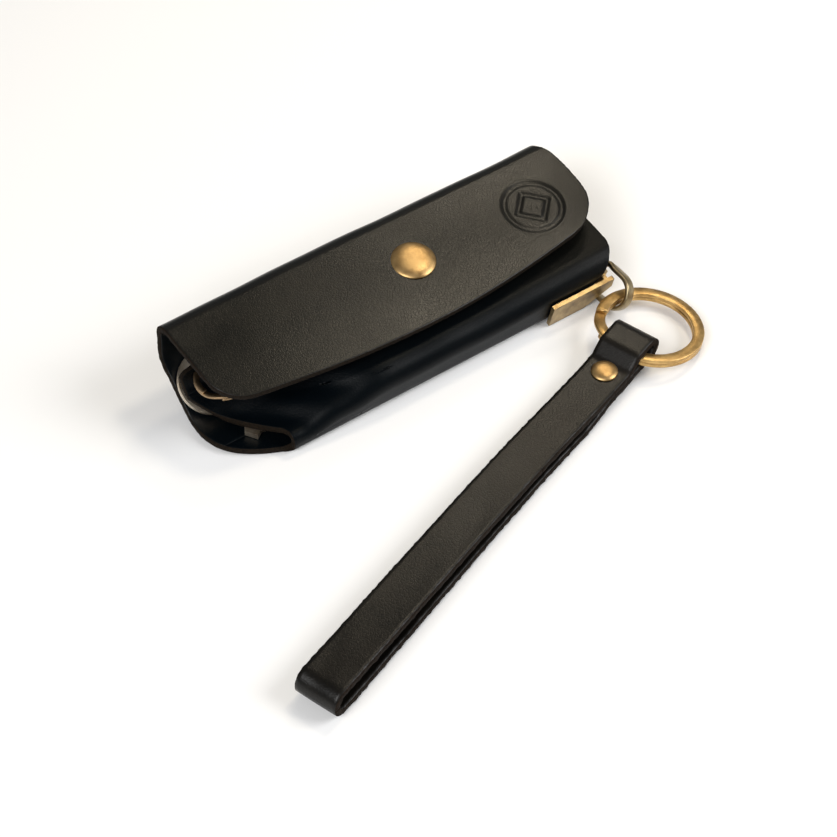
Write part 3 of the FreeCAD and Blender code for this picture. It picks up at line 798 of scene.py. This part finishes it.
# ---------------------------------------------------------------- CAD nodes that stay
def dress(node, material, bevel):
    """Give a carried-over node its material and, if bevel is not 0, softened edges that wide."""
    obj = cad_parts[node]
    obj.data.materials.clear()
    obj.data.materials.append(material)
    if bevel:
        modifier = obj.modifiers.new("worn_edges", "BEVEL")
        modifier.width = bevel * MM
        modifier.segments = 2
        modifier.limit_method = "ANGLE"
        modifier.angle_limit = math.radians(40)


for node_name, look, edge in (
    ("edge_clamp", CLAMP_BRASS, 0.0),
    ("snap_socket", HIDDEN_BRASS, 0.1),
    ("snap_stud", HIDDEN_BRASS, 0.1),
    ("snap_post", HIDDEN_BRASS, 0.1),
    ("key_1", KEY_STEEL, 0.18),
    ("key_2", KEY_STEEL, 0.18),
):
    dress(node_name, look, edge)

case_leather = make_case_leather()
make_snap_cap()
make_rivet()
make_split_ring()
make_key_ring()
make_loop()
make_strap()

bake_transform(case_leather)


# ---------------------------------------------------------------- floor, light and camera
def make_floor():
    size, level = 3.0, -0.0004
    mesh = bpy.data.meshes.new("floor")
    corners = [(-size, -size, level), (size, -size, level), (size, size, level), (-size, size, level)]
    mesh.from_pydata(corners, [], [(0, 1, 2, 3)])
    material, _, shader, _ = new_material("floor_look")
    shader.inputs["Base Color"].default_value = (0.90, 0.90, 0.90, 1)
    shader.inputs["Roughness"].default_value = 0.9
    mesh.materials.append(material)
    obj = link(bpy.data.objects.new("floor", mesh))


def area_light(name, place, target, size, power, colour=(1, 1, 1)):
    light = bpy.data.lights.new(name, "AREA")
    light.shape = "RECTANGLE"
    light.size = size[0]
    light.size_y = size[1]
    light.energy = power
    light.color = colour
    obj = link(bpy.data.objects.new(name, light))
    obj.location = place
    direction = Vector(target) - Vector(place)
    obj.rotation_euler = direction.to_track_quat("-Z", "Y").to_euler()


def make_light():
    world = bpy.data.worlds.new("studio")
    world.use_nodes = True
    background = world.node_tree.nodes["Background"]
    background.inputs["Color"].default_value = (1.0, 1.0, 1.0, 1)
    background.inputs["Strength"].default_value = 0.22
    bpy.context.scene.world = world
    warm = (1.0, 0.88, 0.68)
    area_light("key_softbox", (0.215, 0.035, 0.455), (0.02, -0.01, 0.02), (0.08, 0.08), 0.50, warm)
    area_light("strap_softbox", (0.245, 0.220, 0.37), (0.02, -0.04, 0), (0.08, 0.08), 0.32, warm)
    area_light("side_softbox", (0.60, -0.50, 0.60), (0, 0, 0), (0.5, 0.5), 6.0)
    area_light("fill_softbox", (-0.75, -0.35, 0.75), (0, -0.02, 0), (0.6, 0.6), 8.5)


def make_camera():
    """Seen from the front left and above, with a long lens."""
    azimuth, elevation, roll = math.radians(-35.3), math.radians(49.0), math.radians(-0.31)
    distance = 0.5918
    target = Vector((-10.1, -21.13, 0.0)) * MM
    direction = Vector((math.sin(azimuth) * math.cos(elevation), -math.cos(azimuth) * math.cos(elevation),
                        math.sin(elevation)))
    camera = bpy.data.cameras.new("camera")
    camera.sensor_width = 36.0
    camera.lens = 96.83
    camera.clip_start = 0.01
    obj = link(bpy.data.objects.new("camera", camera))
    obj.location = target + direction * distance
    aim = (-direction).to_track_quat("-Z", "Y")
    obj.rotation_euler = (aim.to_matrix() @ Matrix.Rotation(-roll, 3, "Z")).to_euler()
    bpy.context.scene.camera = obj


make_floor()
make_light()
make_camera()
bpy.context.scene.view_settings.view_transform = "Standard"
